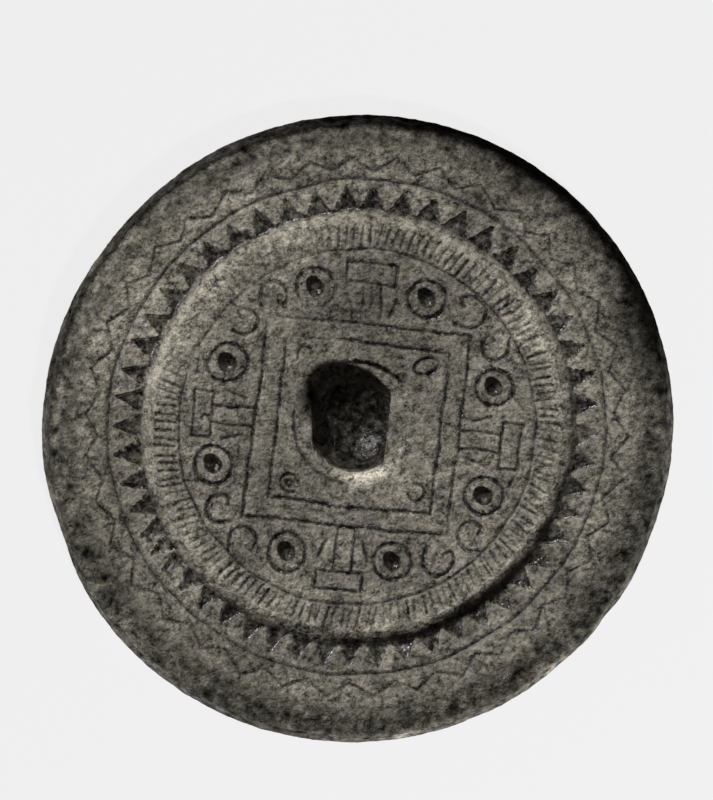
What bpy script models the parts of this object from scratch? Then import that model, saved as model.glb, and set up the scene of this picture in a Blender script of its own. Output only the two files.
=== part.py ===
"""Ancient bronze mirror, cast in one piece with its decorated back.

Units are metres and +Z is up. The mirror lies on its polished face with the
decorated back upward, the origin under the middle of its outline at the lowest
point and the square border along X and Y. The decoration was drawn round a
centre of its own, a little off the middle, and is built there first.
"""

import math

import bmesh
import bpy
from mathutils import Matrix, Vector

MM = 0.001

# Bands of the back, from the centre outward
FIELD_RADIUS = 28.4 * MM
FIELD_LINE = 0.45 * MM
COMB_BAND = 4.3 * MM
STEP_RUN = 1.9 * MM
SAWTOOTH_BAND = 4.8 * MM
RIM_LINE = 0.5 * MM
ZIGZAG_BAND = 5.1 * MM
LIP_RUN = 4.1 * MM
SIDE_RUN = 1.55 * MM

# Heights above the lowest point of the polished face
FIELD_HEIGHT = 2.1 * MM
STEP_RISE = 1.3 * MM
LIP_RISE = 1.2 * MM
EDGE_HEIGHT = 0.9 * MM
EDGE_BEVEL = 0.4 * MM
FACE_FLAT_RADIUS = 12.0 * MM

# The cast edge stands off the centre of the decoration, is a little out of round
# and has shallow chips: bearing in degrees, half width in degrees and depth
EDGE_OFFSET = 0.62 * MM
EDGE_OFFSET_BEARING = -55.0
EDGE_SWELL = 0.2 * MM
EDGE_SWELL_BEARING = -134.0
EDGE_CHIPS = (
    (-12.0, 9.0, 0.30 * MM),
    (-31.0, 3.0, 0.35 * MM),
    (-44.0, 8.0, 0.25 * MM),
    (-62.0, 3.0, 0.15 * MM),
    (-155.0, 8.0, 0.55 * MM),
    (146.0, 14.0, 0.30 * MM),
)

# Knob on its round seat, pierced by the cord hole
KNOB_X = -0.45 * MM
KNOB_Y = 0.6 * MM
KNOB_RADIUS = 7.45 * MM
KNOB_DOME = 5.9 * MM
KNOB_FOOT = 0.9 * MM
SEAT_MARGIN = 2.55 * MM
SEAT_HEIGHT = 0.25 * MM
HOLE_WIDTH = 7.4 * MM
HOLE_HEIGHT = 5.2 * MM
HOLE_SILL = 0.1 * MM
HOLE_JAMB = 0.45

# The ends of the knob are cut away round the mouths of the hole: distance of
# each cut from the knob's middle at the sill, and how far it leans in above
LEFT_CUT = (6.4 * MM, 2.5 * MM)
RIGHT_CUT = (5.2 * MM, 0.4 * MM)
CUT_RISE = 5.6 * MM
CUT_HALF_WIDTH = 5.8 * MM

# Raised line work: foot width, top width and height
LINE_FOOT = 0.62 * MM
LINE_TOP = 0.34 * MM
LINE_RISE = 0.30 * MM
STROKE_RISE = 0.26 * MM
SINK = 0.35 * MM

# Square border, a thin line inside a thin line
SQUARE_HALF = 16.3 * MM
SQUARE_GAP = 3.2 * MM
SQUARE_Y = 0.35 * MM

# T shape in the middle of each side of the square
TEE_CLEARANCE = 2.3 * MM
TEE_DEPTH = 3.05 * MM
TEE_HALF_LENGTH = 3.65 * MM
TEE_SHIFT = -0.35 * MM
STEM_HALF = 1.42 * MM
FLANK_START = (1.8 * MM, 2.95 * MM)
FLANK_END = (4.7 * MM, 3.9 * MM)

# Eight nipples, one on each side of each T
NIPPLE_INSET = 5.5 * MM
NIPPLE_BEARING = 22.0
NIPPLE_RADIUS = 1.4 * MM
NIPPLE_RISE = 1.35 * MM
NIPPLE_RING = 3.0 * MM

# Scrolls between the nipples: bearing of the centre, bearing of the opening,
# which way the curled end turns
SCROLL_INSET = 3.15 * MM
SCROLL_RADIUS = 2.25 * MM
SCROLL_SWEEP = 255.0
SCROLLS = (
    (37.0, 180.0, 1),
    (52.2, 75.0, -1),
    (128.5, 270.0, -1),
    (142.5, 185.0, 1),
    (216.5, 355.0, -1),
    (230.4, 265.0, -1),
    (306.9, 95.0, 1),
    (322.2, 345.0, -1),
)

# Small scrolls in the corners inside the square: centre, bearing of the opening
# and sweep
CORNER_SCROLL_RADIUS = 1.3 * MM
CORNER_SCROLLS = (
    (9.7 * MM, 10.6 * MM, 215.0, 315.0),
    (-10.0 * MM, 10.8 * MM, 270.0, 170.0),
    (-10.1 * MM, -10.3 * MM, 340.0, 290.0),
    (10.2 * MM, -9.5 * MM, 175.0, 220.0),
)

# Crown of sawteeth standing on a raised circle, crowded on one side
SAWTEETH = 52
SAWTOOTH_BASE = 0.65 * MM
SAWTOOTH_LENGTH = 3.9 * MM
SAWTOOTH_FILL = 0.84
SAWTOOTH_RISE = 0.40 * MM
SAWTOOTH_DRAFT = 0.12 * MM
SAWTOOTH_TIP_DRAFT = 0.48 * MM
SAWTOOTH_START = 7.6
SAWTOOTH_CROWDING = 3.9
SAWTOOTH_CROWDING_FROM = 53.0

# Zigzag line round the rim
ZIGZAGS = 38
ZIGZAG_START = 3.5
ZIGZAG_MARGIN = 1.45 * MM
ZIGZAG_REACH = 2.2 * MM
ZIGZAG_RISE = 0.28 * MM

# Slanting comb-teeth round the field
COMB_TEETH = 148
COMB_MARGIN = 0.6 * MM
COMB_LENGTH = 3.1 * MM
COMB_SLANT = 8.0
COMB_FOOT = 0.55 * MM
COMB_TOP = 0.3 * MM

# Facets
DISC_SIDES = 60
KNOB_SIDES = 28
KNOB_STEPS = 5
KNOB_CAP_BEARING = 85.0
HOLE_STEPS = 8
NIPPLE_SIDES = 8
RING_SIDES = 14
ARC_STEP = 32.0

BRONZE_COLOUR = (0.075, 0.072, 0.062, 1.0)
BRONZE_ROUGHNESS = 0.55


# Radii that follow from the bands
COMB_OUTER = FIELD_RADIUS + COMB_BAND
RIM_INNER = COMB_OUTER + STEP_RUN
RIM_LINE_RADIUS = RIM_INNER + SAWTOOTH_BAND
LIP_FOOT = RIM_LINE_RADIUS + ZIGZAG_BAND
LIP_EDGE = LIP_FOOT + LIP_RUN
OUTER_RADIUS = LIP_EDGE + SIDE_RUN
RIM_HEIGHT = FIELD_HEIGHT + STEP_RISE
SEAT_TOP = FIELD_HEIGHT + SEAT_HEIGHT


def polar(radius, degrees):
    angle = math.radians(degrees)
    return Vector((radius * math.cos(angle), radius * math.sin(angle)))


def arc(centre, radius, start, sweep, steps=None):
    """Points along a circular arc, in degrees."""
    steps = steps or max(3, round(abs(sweep) / ARC_STEP))
    return [centre + polar(radius, start + sweep * i / steps) for i in range(steps + 1)]


def edge_wear(degrees):
    """How far the outer edge stands out of round at a bearing."""
    wear = EDGE_SWELL * math.cos(2 * math.radians(degrees - EDGE_SWELL_BEARING))
    for bearing, half_width, depth in EDGE_CHIPS:
        away = math.remainder(degrees - bearing, 360) / half_width
        wear -= depth * math.exp(-away * away)
    return wear


def new_object(name, bm):
    mesh = bpy.data.meshes.new(name)
    bmesh.ops.recalc_face_normals(bm, faces=bm.faces)
    bm.to_mesh(mesh)
    bm.free()
    obj = bpy.data.objects.new(name, mesh)
    bpy.context.collection.objects.link(obj)
    return obj


def lathe(name, profile, sides, centre=(0.0, 0.0)):
    """Turn a profile of (radius, height) round a vertical axis and close its ends."""
    bm = bmesh.new()
    verts = [bm.verts.new((radius, 0, height)) for radius, height in profile]
    edges = [bm.edges.new(pair) for pair in zip(verts, verts[1:])]
    bmesh.ops.spin(
        bm,
        geom=verts + edges,
        cent=(0, 0, 0),
        axis=(0, 0, 1),
        angle=math.tau,
        steps=sides,
        use_merge=True,
    )
    bmesh.ops.holes_fill(bm, edges=[edge for edge in bm.edges if edge.is_boundary])
    bmesh.ops.translate(bm, verts=bm.verts, vec=(centre[0], centre[1], 0))
    return new_object(name, bm)


def ridge(radius, width, height, ground):
    """Profile points of a raised circle, from outside in."""
    foot = width / 2
    top = foot * LINE_TOP / LINE_FOOT
    return [
        (radius + foot, ground),
        (radius + top, ground + height),
        (radius - top, ground + height),
        (radius - foot, ground),
    ]


def disc():
    """The cast disc: bulging polished face, bevelled side, stepped rim and field."""
    profile = [
        (FACE_FLAT_RADIUS, 0),
    ]
    face_run = OUTER_RADIUS - FACE_FLAT_RADIUS
    for share in (0.4, 0.72, 0.99):
        profile.append((FACE_FLAT_RADIUS + face_run * share, EDGE_HEIGHT * share * share))
    profile += [
        (OUTER_RADIUS, EDGE_HEIGHT + EDGE_BEVEL),
        (LIP_EDGE, RIM_HEIGHT + LIP_RISE),
        (LIP_FOOT + LIP_RUN * 0.5, RIM_HEIGHT + LIP_RISE * 0.42),
        (LIP_FOOT, RIM_HEIGHT),
    ]
    profile += ridge(RIM_LINE_RADIUS, RIM_LINE, LINE_RISE, RIM_HEIGHT)
    profile += [
        (RIM_INNER, RIM_HEIGHT),
        (COMB_OUTER, FIELD_HEIGHT),
    ]
    profile += ridge(FIELD_RADIUS, FIELD_LINE, LINE_RISE, FIELD_HEIGHT)
    obj = lathe("bronze_mirror", profile, DISC_SIDES)
    offset = polar(EDGE_OFFSET, EDGE_OFFSET_BEARING)
    for vert in obj.data.vertices:
        radius = math.hypot(vert.co.x, vert.co.y)
        share = (radius - LIP_FOOT) / (OUTER_RADIUS - LIP_FOOT)
        if share > 0:
            bearing = math.degrees(math.atan2(vert.co.y, vert.co.x))
            worn = 1 + edge_wear(bearing) * share * share / radius
            vert.co.x = vert.co.x * worn + offset.x * share * share
            vert.co.y = vert.co.y * worn + offset.y * share * share
    return obj


def knob():
    """Domed knob on a round seat, sunk a little into the field."""
    seat = KNOB_RADIUS + SEAT_MARGIN
    profile = [
        (seat, FIELD_HEIGHT - SINK),
        (seat - 0.12 * MM, SEAT_TOP),
        (KNOB_RADIUS + SEAT_MARGIN * 0.55, SEAT_TOP + KNOB_FOOT * 0.12),
        (KNOB_RADIUS + SEAT_MARGIN * 0.22, SEAT_TOP + KNOB_FOOT * 0.4),
    ]
    for step in range(KNOB_STEPS + 1):
        turn = math.radians(KNOB_CAP_BEARING) * step / KNOB_STEPS
        height = SEAT_TOP + KNOB_FOOT + KNOB_DOME * math.sin(turn)
        profile.append((KNOB_RADIUS * math.cos(turn), height))
    return lathe("knob", profile, KNOB_SIDES, (KNOB_X, KNOB_Y))


def knob_hole():
    """Arched tunnel for the cord, along X through the knob."""
    half = HOLE_WIDTH / 2
    sill = SEAT_TOP + HOLE_SILL
    crown_height = FIELD_HEIGHT + HOLE_HEIGHT
    spring = sill + (crown_height - sill) * HOLE_JAMB
    rise = crown_height - spring
    outline = [(-half, sill), (half, sill)]
    for step in range(HOLE_STEPS + 1):
        turn = math.pi * step / HOLE_STEPS
        outline.append((half * math.cos(turn), spring + rise * math.sin(turn)))
    reach = KNOB_RADIUS + SEAT_MARGIN
    bm = bmesh.new()
    face = bm.faces.new(
        [bm.verts.new((KNOB_X - reach, KNOB_Y + side, height)) for side, height in outline]
    )
    pushed = bmesh.ops.extrude_face_region(bm, geom=[face])["geom"]
    far_end = [item for item in pushed if isinstance(item, bmesh.types.BMVert)]
    bmesh.ops.translate(bm, verts=far_end, vec=(2 * reach, 0, 0))
    return new_object("knob_hole", bm)


def knob_ends():
    """What is cut away from the two ends of the knob, above the sill of the hole."""
    sill = SEAT_TOP + HOLE_SILL
    reach = KNOB_RADIUS + SEAT_MARGIN * 0.8
    bm = bmesh.new()
    for way, (foot, lean) in ((-1, LEFT_CUT), (1, RIGHT_CUT)):
        outline = (
            (reach, sill),
            (foot, sill),
            (foot - 2 * lean, sill + 2 * CUT_RISE),
            (reach, sill + 2 * CUT_RISE),
        )
        face = bm.faces.new(
            [bm.verts.new((KNOB_X + way * out, KNOB_Y - CUT_HALF_WIDTH, up)) for out, up in outline]
        )
        pushed = bmesh.ops.extrude_face_region(bm, geom=[face])["geom"]
        far_end = [item for item in pushed if isinstance(item, bmesh.types.BMVert)]
        bmesh.ops.translate(bm, verts=far_end, vec=(0, 2 * CUT_HALF_WIDTH, 0))
    return new_object("knob_ends", bm)


def sides_of(points, closed):
    """Unit normal at each point of a line, stretched at its corners to keep the width."""
    normals = []
    count = len(points)
    for i, point in enumerate(points):
        before = points[i - 1] if closed or i else None
        after = points[(i + 1) % count] if closed or i < count - 1 else None
        ways = []
        if before is not None:
            ways.append((point - before).normalized())
        if after is not None:
            ways.append((after - point).normalized())
        way = sum(ways, Vector((0, 0))).normalized()
        normal = Vector((-way.y, way.x))
        stretch = abs(way.dot(ways[0]))
        normals.append(normal / max(stretch, 0.35))
    return normals


def band(bm, left_foot, left_top, right_foot, right_top, bottom, top, closed):
    """A raised band between two lines of points, closed below and at its ends."""
    rows = []
    for points, height in (
        (left_foot, bottom),
        (left_top, top),
        (right_top, top),
        (right_foot, bottom),
    ):
        rows.append([bm.verts.new((point.x, point.y, height)) for point in points])
    count = len(left_foot)
    for i in range(count if closed else count - 1):
        j = (i + 1) % count
        for side in range(4):
            near = rows[side]
            far = rows[(side + 1) % 4]
            bm.faces.new((near[i], near[j], far[j], far[i]))
    if not closed:
        bm.faces.new([row[0] for row in rows])
        bm.faces.new([row[-1] for row in reversed(rows)])


def line(bm, points, ground, rise=LINE_RISE, foot=LINE_FOOT, top=LINE_TOP, closed=False):
    """A raised line with sloping sides, sunk into the ground below it."""
    normals = sides_of(points, closed)
    # The sides keep their slope down to the sunk foot
    flare = (foot - top) * SINK / rise
    low = (foot + flare) / 2
    high = top / 2
    band(
        bm,
        [p + n * low for p, n in zip(points, normals)],
        [p + n * high for p, n in zip(points, normals)],
        [p - n * low for p, n in zip(points, normals)],
        [p - n * high for p, n in zip(points, normals)],
        ground - SINK,
        ground + rise,
        closed,
    )


def turned(points, quarter):
    """Points turned by quarter turns round the centre."""
    turn = {0: (1, 0), 1: (0, 1), 2: (-1, 0), 3: (0, -1)}[quarter]
    return [Vector((p.x * turn[0] - p.y * turn[1], p.x * turn[1] + p.y * turn[0])) for p in points]


def square(half):
    corners = ((half, half), (-half, half), (-half, -half), (half, -half))
    return [Vector((x, y + SQUARE_Y)) for x, y in corners]


def tee_bar(quarter):
    """Outline of the bar of a T. All the bars are shifted the same way, down and left."""
    far = FIELD_RADIUS - TEE_CLEARANCE
    near = far - TEE_DEPTH
    shift = TEE_SHIFT if quarter in (0, 3) else -TEE_SHIFT
    low = shift - TEE_HALF_LENGTH
    high = shift + TEE_HALF_LENGTH
    corners = [Vector(p) for p in ((near, low), (far, low), (far, high), (near, high))]
    return turned(corners, quarter)


def scroll(bearing, opening, hand):
    """A C-scroll with one end curled in and the other end flared."""
    centre = polar(FIELD_RADIUS - SCROLL_INSET, bearing)
    start = opening - hand * (360 - SCROLL_SWEEP) / 2
    points = arc(centre, SCROLL_RADIUS, start, -hand * SCROLL_SWEEP)
    curl = centre + polar(SCROLL_RADIUS * 0.55, start + hand * 12)
    flare = centre + polar(SCROLL_RADIUS * 1.25, start - hand * (SCROLL_SWEEP + 14))
    return [curl] + points[:-1] + [flare]


def corner_scroll(x, y, opening, sweep):
    return arc(Vector((x, y)), CORNER_SCROLL_RADIUS, opening + (360 - sweep) / 2, sweep)


def frames():
    """Everything in the field that keeps clear of its neighbours."""
    bm = bmesh.new()
    line(bm, square(SQUARE_HALF), FIELD_HEIGHT, closed=True)
    line(bm, square(SQUARE_HALF - SQUARE_GAP), FIELD_HEIGHT, closed=True)
    for quarter in range(4):
        line(bm, tee_bar(quarter), FIELD_HEIGHT, closed=True)
        for side in (-1, 1):
            centre = nipple_centre(quarter, side)
            ring = arc(centre, NIPPLE_RING, 0, 360, RING_SIDES)[:-1]
            line(bm, ring, FIELD_HEIGHT, closed=True)
    for bearing, opening, hand in SCROLLS:
        line(bm, scroll(bearing, opening, hand), FIELD_HEIGHT)
    for x, y, opening, sweep in CORNER_SCROLLS:
        line(bm, corner_scroll(x, y, opening, sweep), FIELD_HEIGHT)
    return new_object("frames", bm)


def nipple_centre(quarter, side):
    return polar(FIELD_RADIUS - NIPPLE_INSET, 90 * quarter + side * NIPPLE_BEARING)


def nipple(bm, centre):
    """A small dome inside its ring."""
    rings = []
    bottom = FIELD_HEIGHT - SINK
    for spread, height in (
        (1.0, bottom),
        (0.92, FIELD_HEIGHT + NIPPLE_RISE * 0.45),
        (0.55, FIELD_HEIGHT + NIPPLE_RISE * 0.88),
    ):
        outline = arc(centre, NIPPLE_RADIUS * spread, 0, 360, NIPPLE_SIDES)[:-1]
        rings.append([bm.verts.new((p.x, p.y, height)) for p in outline])
    tip = bm.verts.new((centre.x, centre.y, FIELD_HEIGHT + NIPPLE_RISE))
    for i in range(NIPPLE_SIDES):
        j = (i + 1) % NIPPLE_SIDES
        for low, high in zip(rings, rings[1:]):
            bm.faces.new((low[i], low[j], high[j], high[i]))
        bm.faces.new((rings[-1][i], rings[-1][j], tip))
    bm.faces.new(rings[0])


def strokes():
    """Nipples, T stems with the short strokes beside them, and comb-teeth."""
    bm = bmesh.new()
    bar = FIELD_RADIUS - TEE_CLEARANCE - TEE_DEPTH
    for quarter, border_shift in enumerate((0, SQUARE_Y, 0, -SQUARE_Y)):
        border = SQUARE_HALF + border_shift
        for side in (-1, 1):
            stem = [Vector((border, side * STEM_HALF)), Vector((bar, side * STEM_HALF))]
            line(bm, turned(stem, quarter), FIELD_HEIGHT, rise=STROKE_RISE)
            flank = [
                Vector((SQUARE_HALF + FLANK_START[0], side * FLANK_START[1])),
                Vector((SQUARE_HALF + FLANK_END[0], side * FLANK_END[1])),
            ]
            line(bm, turned(flank, quarter), FIELD_HEIGHT, rise=STROKE_RISE)
            nipple(bm, nipple_centre(quarter, side))
    for tooth in range(COMB_TEETH):
        bearing = 360 * tooth / COMB_TEETH
        inner = polar(FIELD_RADIUS + COMB_MARGIN, bearing)
        way = polar(COMB_LENGTH, bearing - COMB_SLANT)
        line(bm, [inner, inner + way], FIELD_HEIGHT, STROKE_RISE, COMB_FOOT, COMB_TOP)
    return new_object("strokes", bm)


def sawtooth_bearing(tooth):
    """Bearing of a tooth, with the teeth closer together on one side."""
    even = 360 * tooth / SAWTEETH
    shift = SAWTOOTH_CROWDING * math.sin(math.radians(even - SAWTOOTH_CROWDING_FROM))
    return SAWTOOTH_START + even + shift


def crown():
    """Raised circle with the sawteeth growing out of it."""
    bm = bmesh.new()
    base = RIM_INNER + SAWTOOTH_BASE * 0.3
    inner = base - SAWTOOTH_BASE
    inner_line = []
    outer_foot = []
    outer_top = []
    half = SAWTOOTH_FILL / 2
    corners = (
        (-half, 0, SAWTOOTH_DRAFT),
        (0, SAWTOOTH_LENGTH, SAWTOOTH_TIP_DRAFT),
        (half, 0, SAWTOOTH_DRAFT),
    )
    for tooth in range(SAWTEETH):
        for offset, reach, draft in corners:
            bearing = sawtooth_bearing(tooth + offset)
            inner_line.append(polar(inner, bearing))
            outer_foot.append(polar(base + reach, bearing))
            outer_top.append(polar(base + reach - draft, bearing))
    band(
        bm,
        inner_line,
        inner_line,
        outer_foot,
        outer_top,
        RIM_HEIGHT - SINK,
        RIM_HEIGHT + SAWTOOTH_RISE,
        True,
    )
    return new_object("crown", bm)


def zigzag():
    """Raised zigzag line round the rim."""
    bm = bmesh.new()
    inner = RIM_LINE_RADIUS + ZIGZAG_MARGIN
    points = []
    for turn in range(2 * ZIGZAGS):
        radius = inner + ZIGZAG_REACH * (turn % 2)
        points.append(polar(radius, ZIGZAG_START + 180 * (turn - 1) / ZIGZAGS))
    line(bm, points, RIM_HEIGHT, rise=ZIGZAG_RISE, closed=True)
    return new_object("zigzag", bm)


def combine(base, tool, operation):
    """Fuse a tool with the base, or cut it out of the base, and drop the tool."""
    modifier = base.modifiers.new(tool.name, "BOOLEAN")
    modifier.object = tool
    modifier.operation = operation
    modifier.solver = "EXACT"
    modifier.use_self = True
    bpy.context.view_layer.update()
    graph = bpy.context.evaluated_depsgraph_get()
    mesh = bpy.data.meshes.new_from_object(base.evaluated_get(graph))
    base.modifiers.clear()
    base.data = mesh
    bpy.data.objects.remove(tool)


def bronze():
    """Dark tin bronze, plain here."""
    material = bpy.data.materials.new("tin_bronze")
    material.use_nodes = True
    shader = material.node_tree.nodes["Principled BSDF"]
    shader.inputs["Base Color"].default_value = BRONZE_COLOUR
    shader.inputs["Metallic"].default_value = 1.0
    shader.inputs["Roughness"].default_value = BRONZE_ROUGHNESS
    return material


def build_mirror():
    """One casting: disc, knob and all the raised work fused into one solid."""
    mirror = disc()
    combine(mirror, knob(), "UNION")
    combine(mirror, knob_ends(), "DIFFERENCE")
    combine(mirror, knob_hole(), "DIFFERENCE")
    for raised in (crown(), zigzag(), frames(), strokes()):
        combine(mirror, raised, "UNION")
    # The outline comes round the origin, and the decoration a little off it
    offset = polar(EDGE_OFFSET, EDGE_OFFSET_BEARING)
    mirror.data.transform(Matrix.Translation((-offset.x, -offset.y, 0)))
    mirror.data.shade_smooth()
    mirror.data.set_sharp_from_angle(angle=math.radians(32))
    mirror.data.materials.append(bronze())
    mirror.data.name = mirror.name
    return mirror


for leftover in list(bpy.data.objects):
    bpy.data.objects.remove(leftover)
build_mirror()
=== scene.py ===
import math

import bmesh
import bpy
import numpy as np
from mathutils import Matrix, Vector, noise


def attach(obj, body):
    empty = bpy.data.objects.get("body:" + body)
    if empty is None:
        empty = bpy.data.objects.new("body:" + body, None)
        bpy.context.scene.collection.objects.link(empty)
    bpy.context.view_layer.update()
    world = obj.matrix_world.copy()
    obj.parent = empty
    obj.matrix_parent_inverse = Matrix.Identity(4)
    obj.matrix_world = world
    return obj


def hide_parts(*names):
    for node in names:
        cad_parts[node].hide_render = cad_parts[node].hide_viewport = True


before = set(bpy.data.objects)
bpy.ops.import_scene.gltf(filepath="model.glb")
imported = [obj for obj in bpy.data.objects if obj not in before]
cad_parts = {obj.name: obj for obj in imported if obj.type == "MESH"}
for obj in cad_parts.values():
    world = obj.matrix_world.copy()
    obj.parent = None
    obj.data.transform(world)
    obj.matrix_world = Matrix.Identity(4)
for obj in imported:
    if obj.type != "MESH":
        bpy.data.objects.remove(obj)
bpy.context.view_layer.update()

# Turned form of the mirror
# One casting in tin bronze: a disc with a bulging polished face below, and on
# its back a sunk field, a raised rim and a domed knob on a flat round seat.
MM = 0.001
FIELD_RADIUS = 28.4 * MM
COMB_OUTER = FIELD_RADIUS + 4.3 * MM
RIM_INNER = COMB_OUTER + 1.9 * MM
RIM_LINE = RIM_INNER + 4.8 * MM
LIP_FOOT = RIM_LINE + 5.1 * MM
LIP_EDGE = LIP_FOOT + 4.1 * MM
OUTER = LIP_EDGE + 1.55 * MM

FACE_FLAT = 12.0 * MM
FACE_SPAN = 0.96
FACE_EDGE = 0.88 * MM
EDGE_HEIGHT = 1.3 * MM
FIELD_HEIGHT = 2.1 * MM
SEAT_HEIGHT = 2.35 * MM
RIM_HEIGHT = 3.4 * MM
LIP_HEIGHT = 4.6 * MM

KNOB_CENTRE = Vector((-0.45 * MM, 0.6 * MM, 0))
KNOB_RADIUS = 7.45 * MM
KNOB_FOOT = 3.25 * MM
KNOB_TOP = 9.15 * MM
KNOB_HOLLOW = 1.45 * MM
SEAT_RADIUS = 10.0 * MM
SEAT_EDGE = 0.12 * MM
# The knob's shift dies away over this distance outside its seat
SEAT_BLEND = 4 * MM

# Where the lip bends: how far from its foot, its edge or the side, and how high or low
LIP_SLOPE = (2.05 * MM, 0.5 * MM)
LIP_SHOULDER = (1.0 * MM, 0.2 * MM)
LIP_CREST = (0.3 * MM, 0.15 * MM)
LIP_TURN = (0.2 * MM, 0.5 * MM)
SIDE_TUCK = (0.08 * MM, 0.25 * MM)

WEB_STEP = 0.44 * MM
FACE_STEP = 2.4 * MM
CIRCLE_STEP = 0.2 * MM


def run(curve, step):
    """Even stations along a curve of (radius, height), without its first point."""
    points = np.array(curve)
    lengths = np.concatenate(([0], np.cumsum(np.hypot(*np.diff(points, axis=0).T))))
    count = max(1, round(lengths[-1] / step))
    places = np.linspace(0, lengths[-1], count + 1)[1:]
    radii = np.interp(places, lengths, points[:, 0])
    heights = np.interp(places, lengths, points[:, 1])
    return list(zip(radii, heights))


def knob_profile():
    """The dome of the knob and the hollow between it and its seat."""
    dome = []
    for turn in np.radians(np.linspace(90, 0, 60)):
        height = KNOB_FOOT + (KNOB_TOP - KNOB_FOOT) * math.sin(turn)
        dome.append((KNOB_RADIUS * math.cos(turn), height))
    for turn in np.radians(np.linspace(0, 90, 12)[1:]):
        height = KNOB_FOOT - (KNOB_FOOT - SEAT_HEIGHT) * math.sin(turn)
        dome.append((KNOB_RADIUS + KNOB_HOLLOW * (1 - math.cos(turn)), height))
    return dome + [(SEAT_RADIUS - SEAT_EDGE, SEAT_HEIGHT), (SEAT_RADIUS, FIELD_HEIGHT)]


def back_profile():
    """Stations from the top of the knob out to the lower edge of the side."""
    knob = knob_profile()
    rings = [knob[0]]
    rings += run(knob, WEB_STEP)
    corners = [
        (FIELD_RADIUS - CIRCLE_STEP, FIELD_HEIGHT),
        (FIELD_RADIUS, FIELD_HEIGHT),
        (FIELD_RADIUS + CIRCLE_STEP, FIELD_HEIGHT),
        (COMB_OUTER, FIELD_HEIGHT),
        (RIM_INNER, RIM_HEIGHT),
        (RIM_LINE - CIRCLE_STEP, RIM_HEIGHT),
        (RIM_LINE, RIM_HEIGHT),
        (RIM_LINE + CIRCLE_STEP, RIM_HEIGHT),
        (LIP_FOOT, RIM_HEIGHT),
        (LIP_FOOT + LIP_SLOPE[0], RIM_HEIGHT + LIP_SLOPE[1]),
        (LIP_EDGE - LIP_SHOULDER[0], LIP_HEIGHT - LIP_SHOULDER[1]),
        (LIP_EDGE - LIP_CREST[0], LIP_HEIGHT - LIP_CREST[1]),
        (LIP_EDGE + LIP_TURN[0], LIP_HEIGHT - LIP_TURN[1]),
        (OUTER, EDGE_HEIGHT),
        (OUTER - SIDE_TUCK[0], EDGE_HEIGHT - SIDE_TUCK[1]),
    ]
    for corner in corners:
        rings += run([rings[-1], corner], WEB_STEP)
    return rings


def face_profile():
    """Stations of the polished face, from its middle out."""
    rings = [(0.0, 0.0)]
    rings += run([rings[-1], (FACE_FLAT, 0.0)], FACE_STEP)
    bulge = []
    for share in np.linspace(0, FACE_SPAN, 20):
        bulge.append((FACE_FLAT + (OUTER - FACE_FLAT) * share, FACE_EDGE * share**2))
    return rings + run(bulge, FACE_STEP)


def web(rings):
    """A hexagon of even triangles, each row of them laid at the radius and height of a ring."""
    bm = bmesh.new()
    bmesh.ops.create_circle(bm, cap_ends=True, cap_tris=True, segments=6, radius=1.0)
    count = len(rings) - 1
    bmesh.ops.subdivide_edges(bm, edges=bm.edges, cuts=count - 1, use_grid_fill=True)
    bmesh.ops.triangulate(bm, faces=bm.faces)
    sixth = math.tau / 6
    for vert in bm.verts:
        turn = (math.atan2(vert.co.y, vert.co.x) - sixth / 2) % math.tau
        sector = int(turn / sixth + 1e-6)
        reach = vert.co.xy.length
        along = reach * math.sin(turn - sector * sixth) / math.sin(sixth)
        across = reach * math.cos(turn - sector * sixth) - along * math.cos(sixth)
        ring = round((along + across) * count)
        bearing = (sector + along / max(along + across, 1e-9) + 0.5) * sixth
        radius, height = rings[ring]
        vert.co = (radius * math.cos(bearing), radius * math.sin(bearing), height)
    return bm


def close_below(bm, rings):
    """Adds the polished face as a second web and closes the gap between the two edges."""
    rim = [edge for edge in bm.edges if edge.is_boundary]
    below = web(rings)
    bmesh.ops.reverse_faces(below, faces=below.faces)
    spare = bpy.data.meshes.new("spare")
    below.to_mesh(spare)
    below.free()
    bm.from_mesh(spare)
    bpy.data.meshes.remove(spare)
    known = set(rim)
    edge_below = [edge for edge in bm.edges if edge.is_boundary and edge not in known]
    bmesh.ops.bridge_loops(bm, edges=rim + edge_below)
    bmesh.ops.triangulate(bm, faces=bm.faces)


def solid(name, bm):
    """A new object from a finished bmesh."""
    mesh = bpy.data.meshes.new(name)
    bm.to_mesh(mesh)
    bm.free()
    obj = bpy.data.objects.new(name, mesh)
    bpy.context.scene.collection.objects.link(obj)
    return obj


turned_form = web(back_profile())
for vert in turned_form.verts:
    # The knob and its seat stand a little off the middle
    away = max(0.0, vert.co.xy.length - SEAT_RADIUS) / SEAT_BLEND
    vert.co += KNOB_CENTRE * max(0.0, 1 - away)
close_below(turned_form, face_profile())
mirror = solid("cast_mirror", turned_form)


# Cord hole and cut ends of the knob
# A core of clay lay across the mould here. It left an arched tunnel along X,
# and the ends of the dome are cut away round its two mouths.
HOLE_WIDTH = 7.4 * MM
HOLE_SILL = SEAT_HEIGHT + 0.1 * MM
HOLE_CROWN = 7.3 * MM
HOLE_JAMB = 0.45
# Each cut: distance of its foot from the knob's middle, lean inwards, turn
LEFT_CUT = (7.35 * MM, 3.1 * MM, 14.0)
RIGHT_CUT = (5.1 * MM, 0.4 * MM, 0.0)
CUT_RISE = 5.6 * MM
CUT_HALF_WIDTH = 6.6 * MM
CUT_REACH = KNOB_RADIUS + 2.04 * MM


def pushed_outline(points, push):
    """A solid made by pushing a flat outline along a vector."""
    bm = bmesh.new()
    face = bm.faces.new([bm.verts.new(point) for point in points])
    pushed = bmesh.ops.extrude_face_region(bm, geom=[face])["geom"]
    far = [item for item in pushed if isinstance(item, bmesh.types.BMVert)]
    bmesh.ops.translate(bm, verts=far, vec=push)
    bmesh.ops.recalc_face_normals(bm, faces=bm.faces)
    return bm


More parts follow.
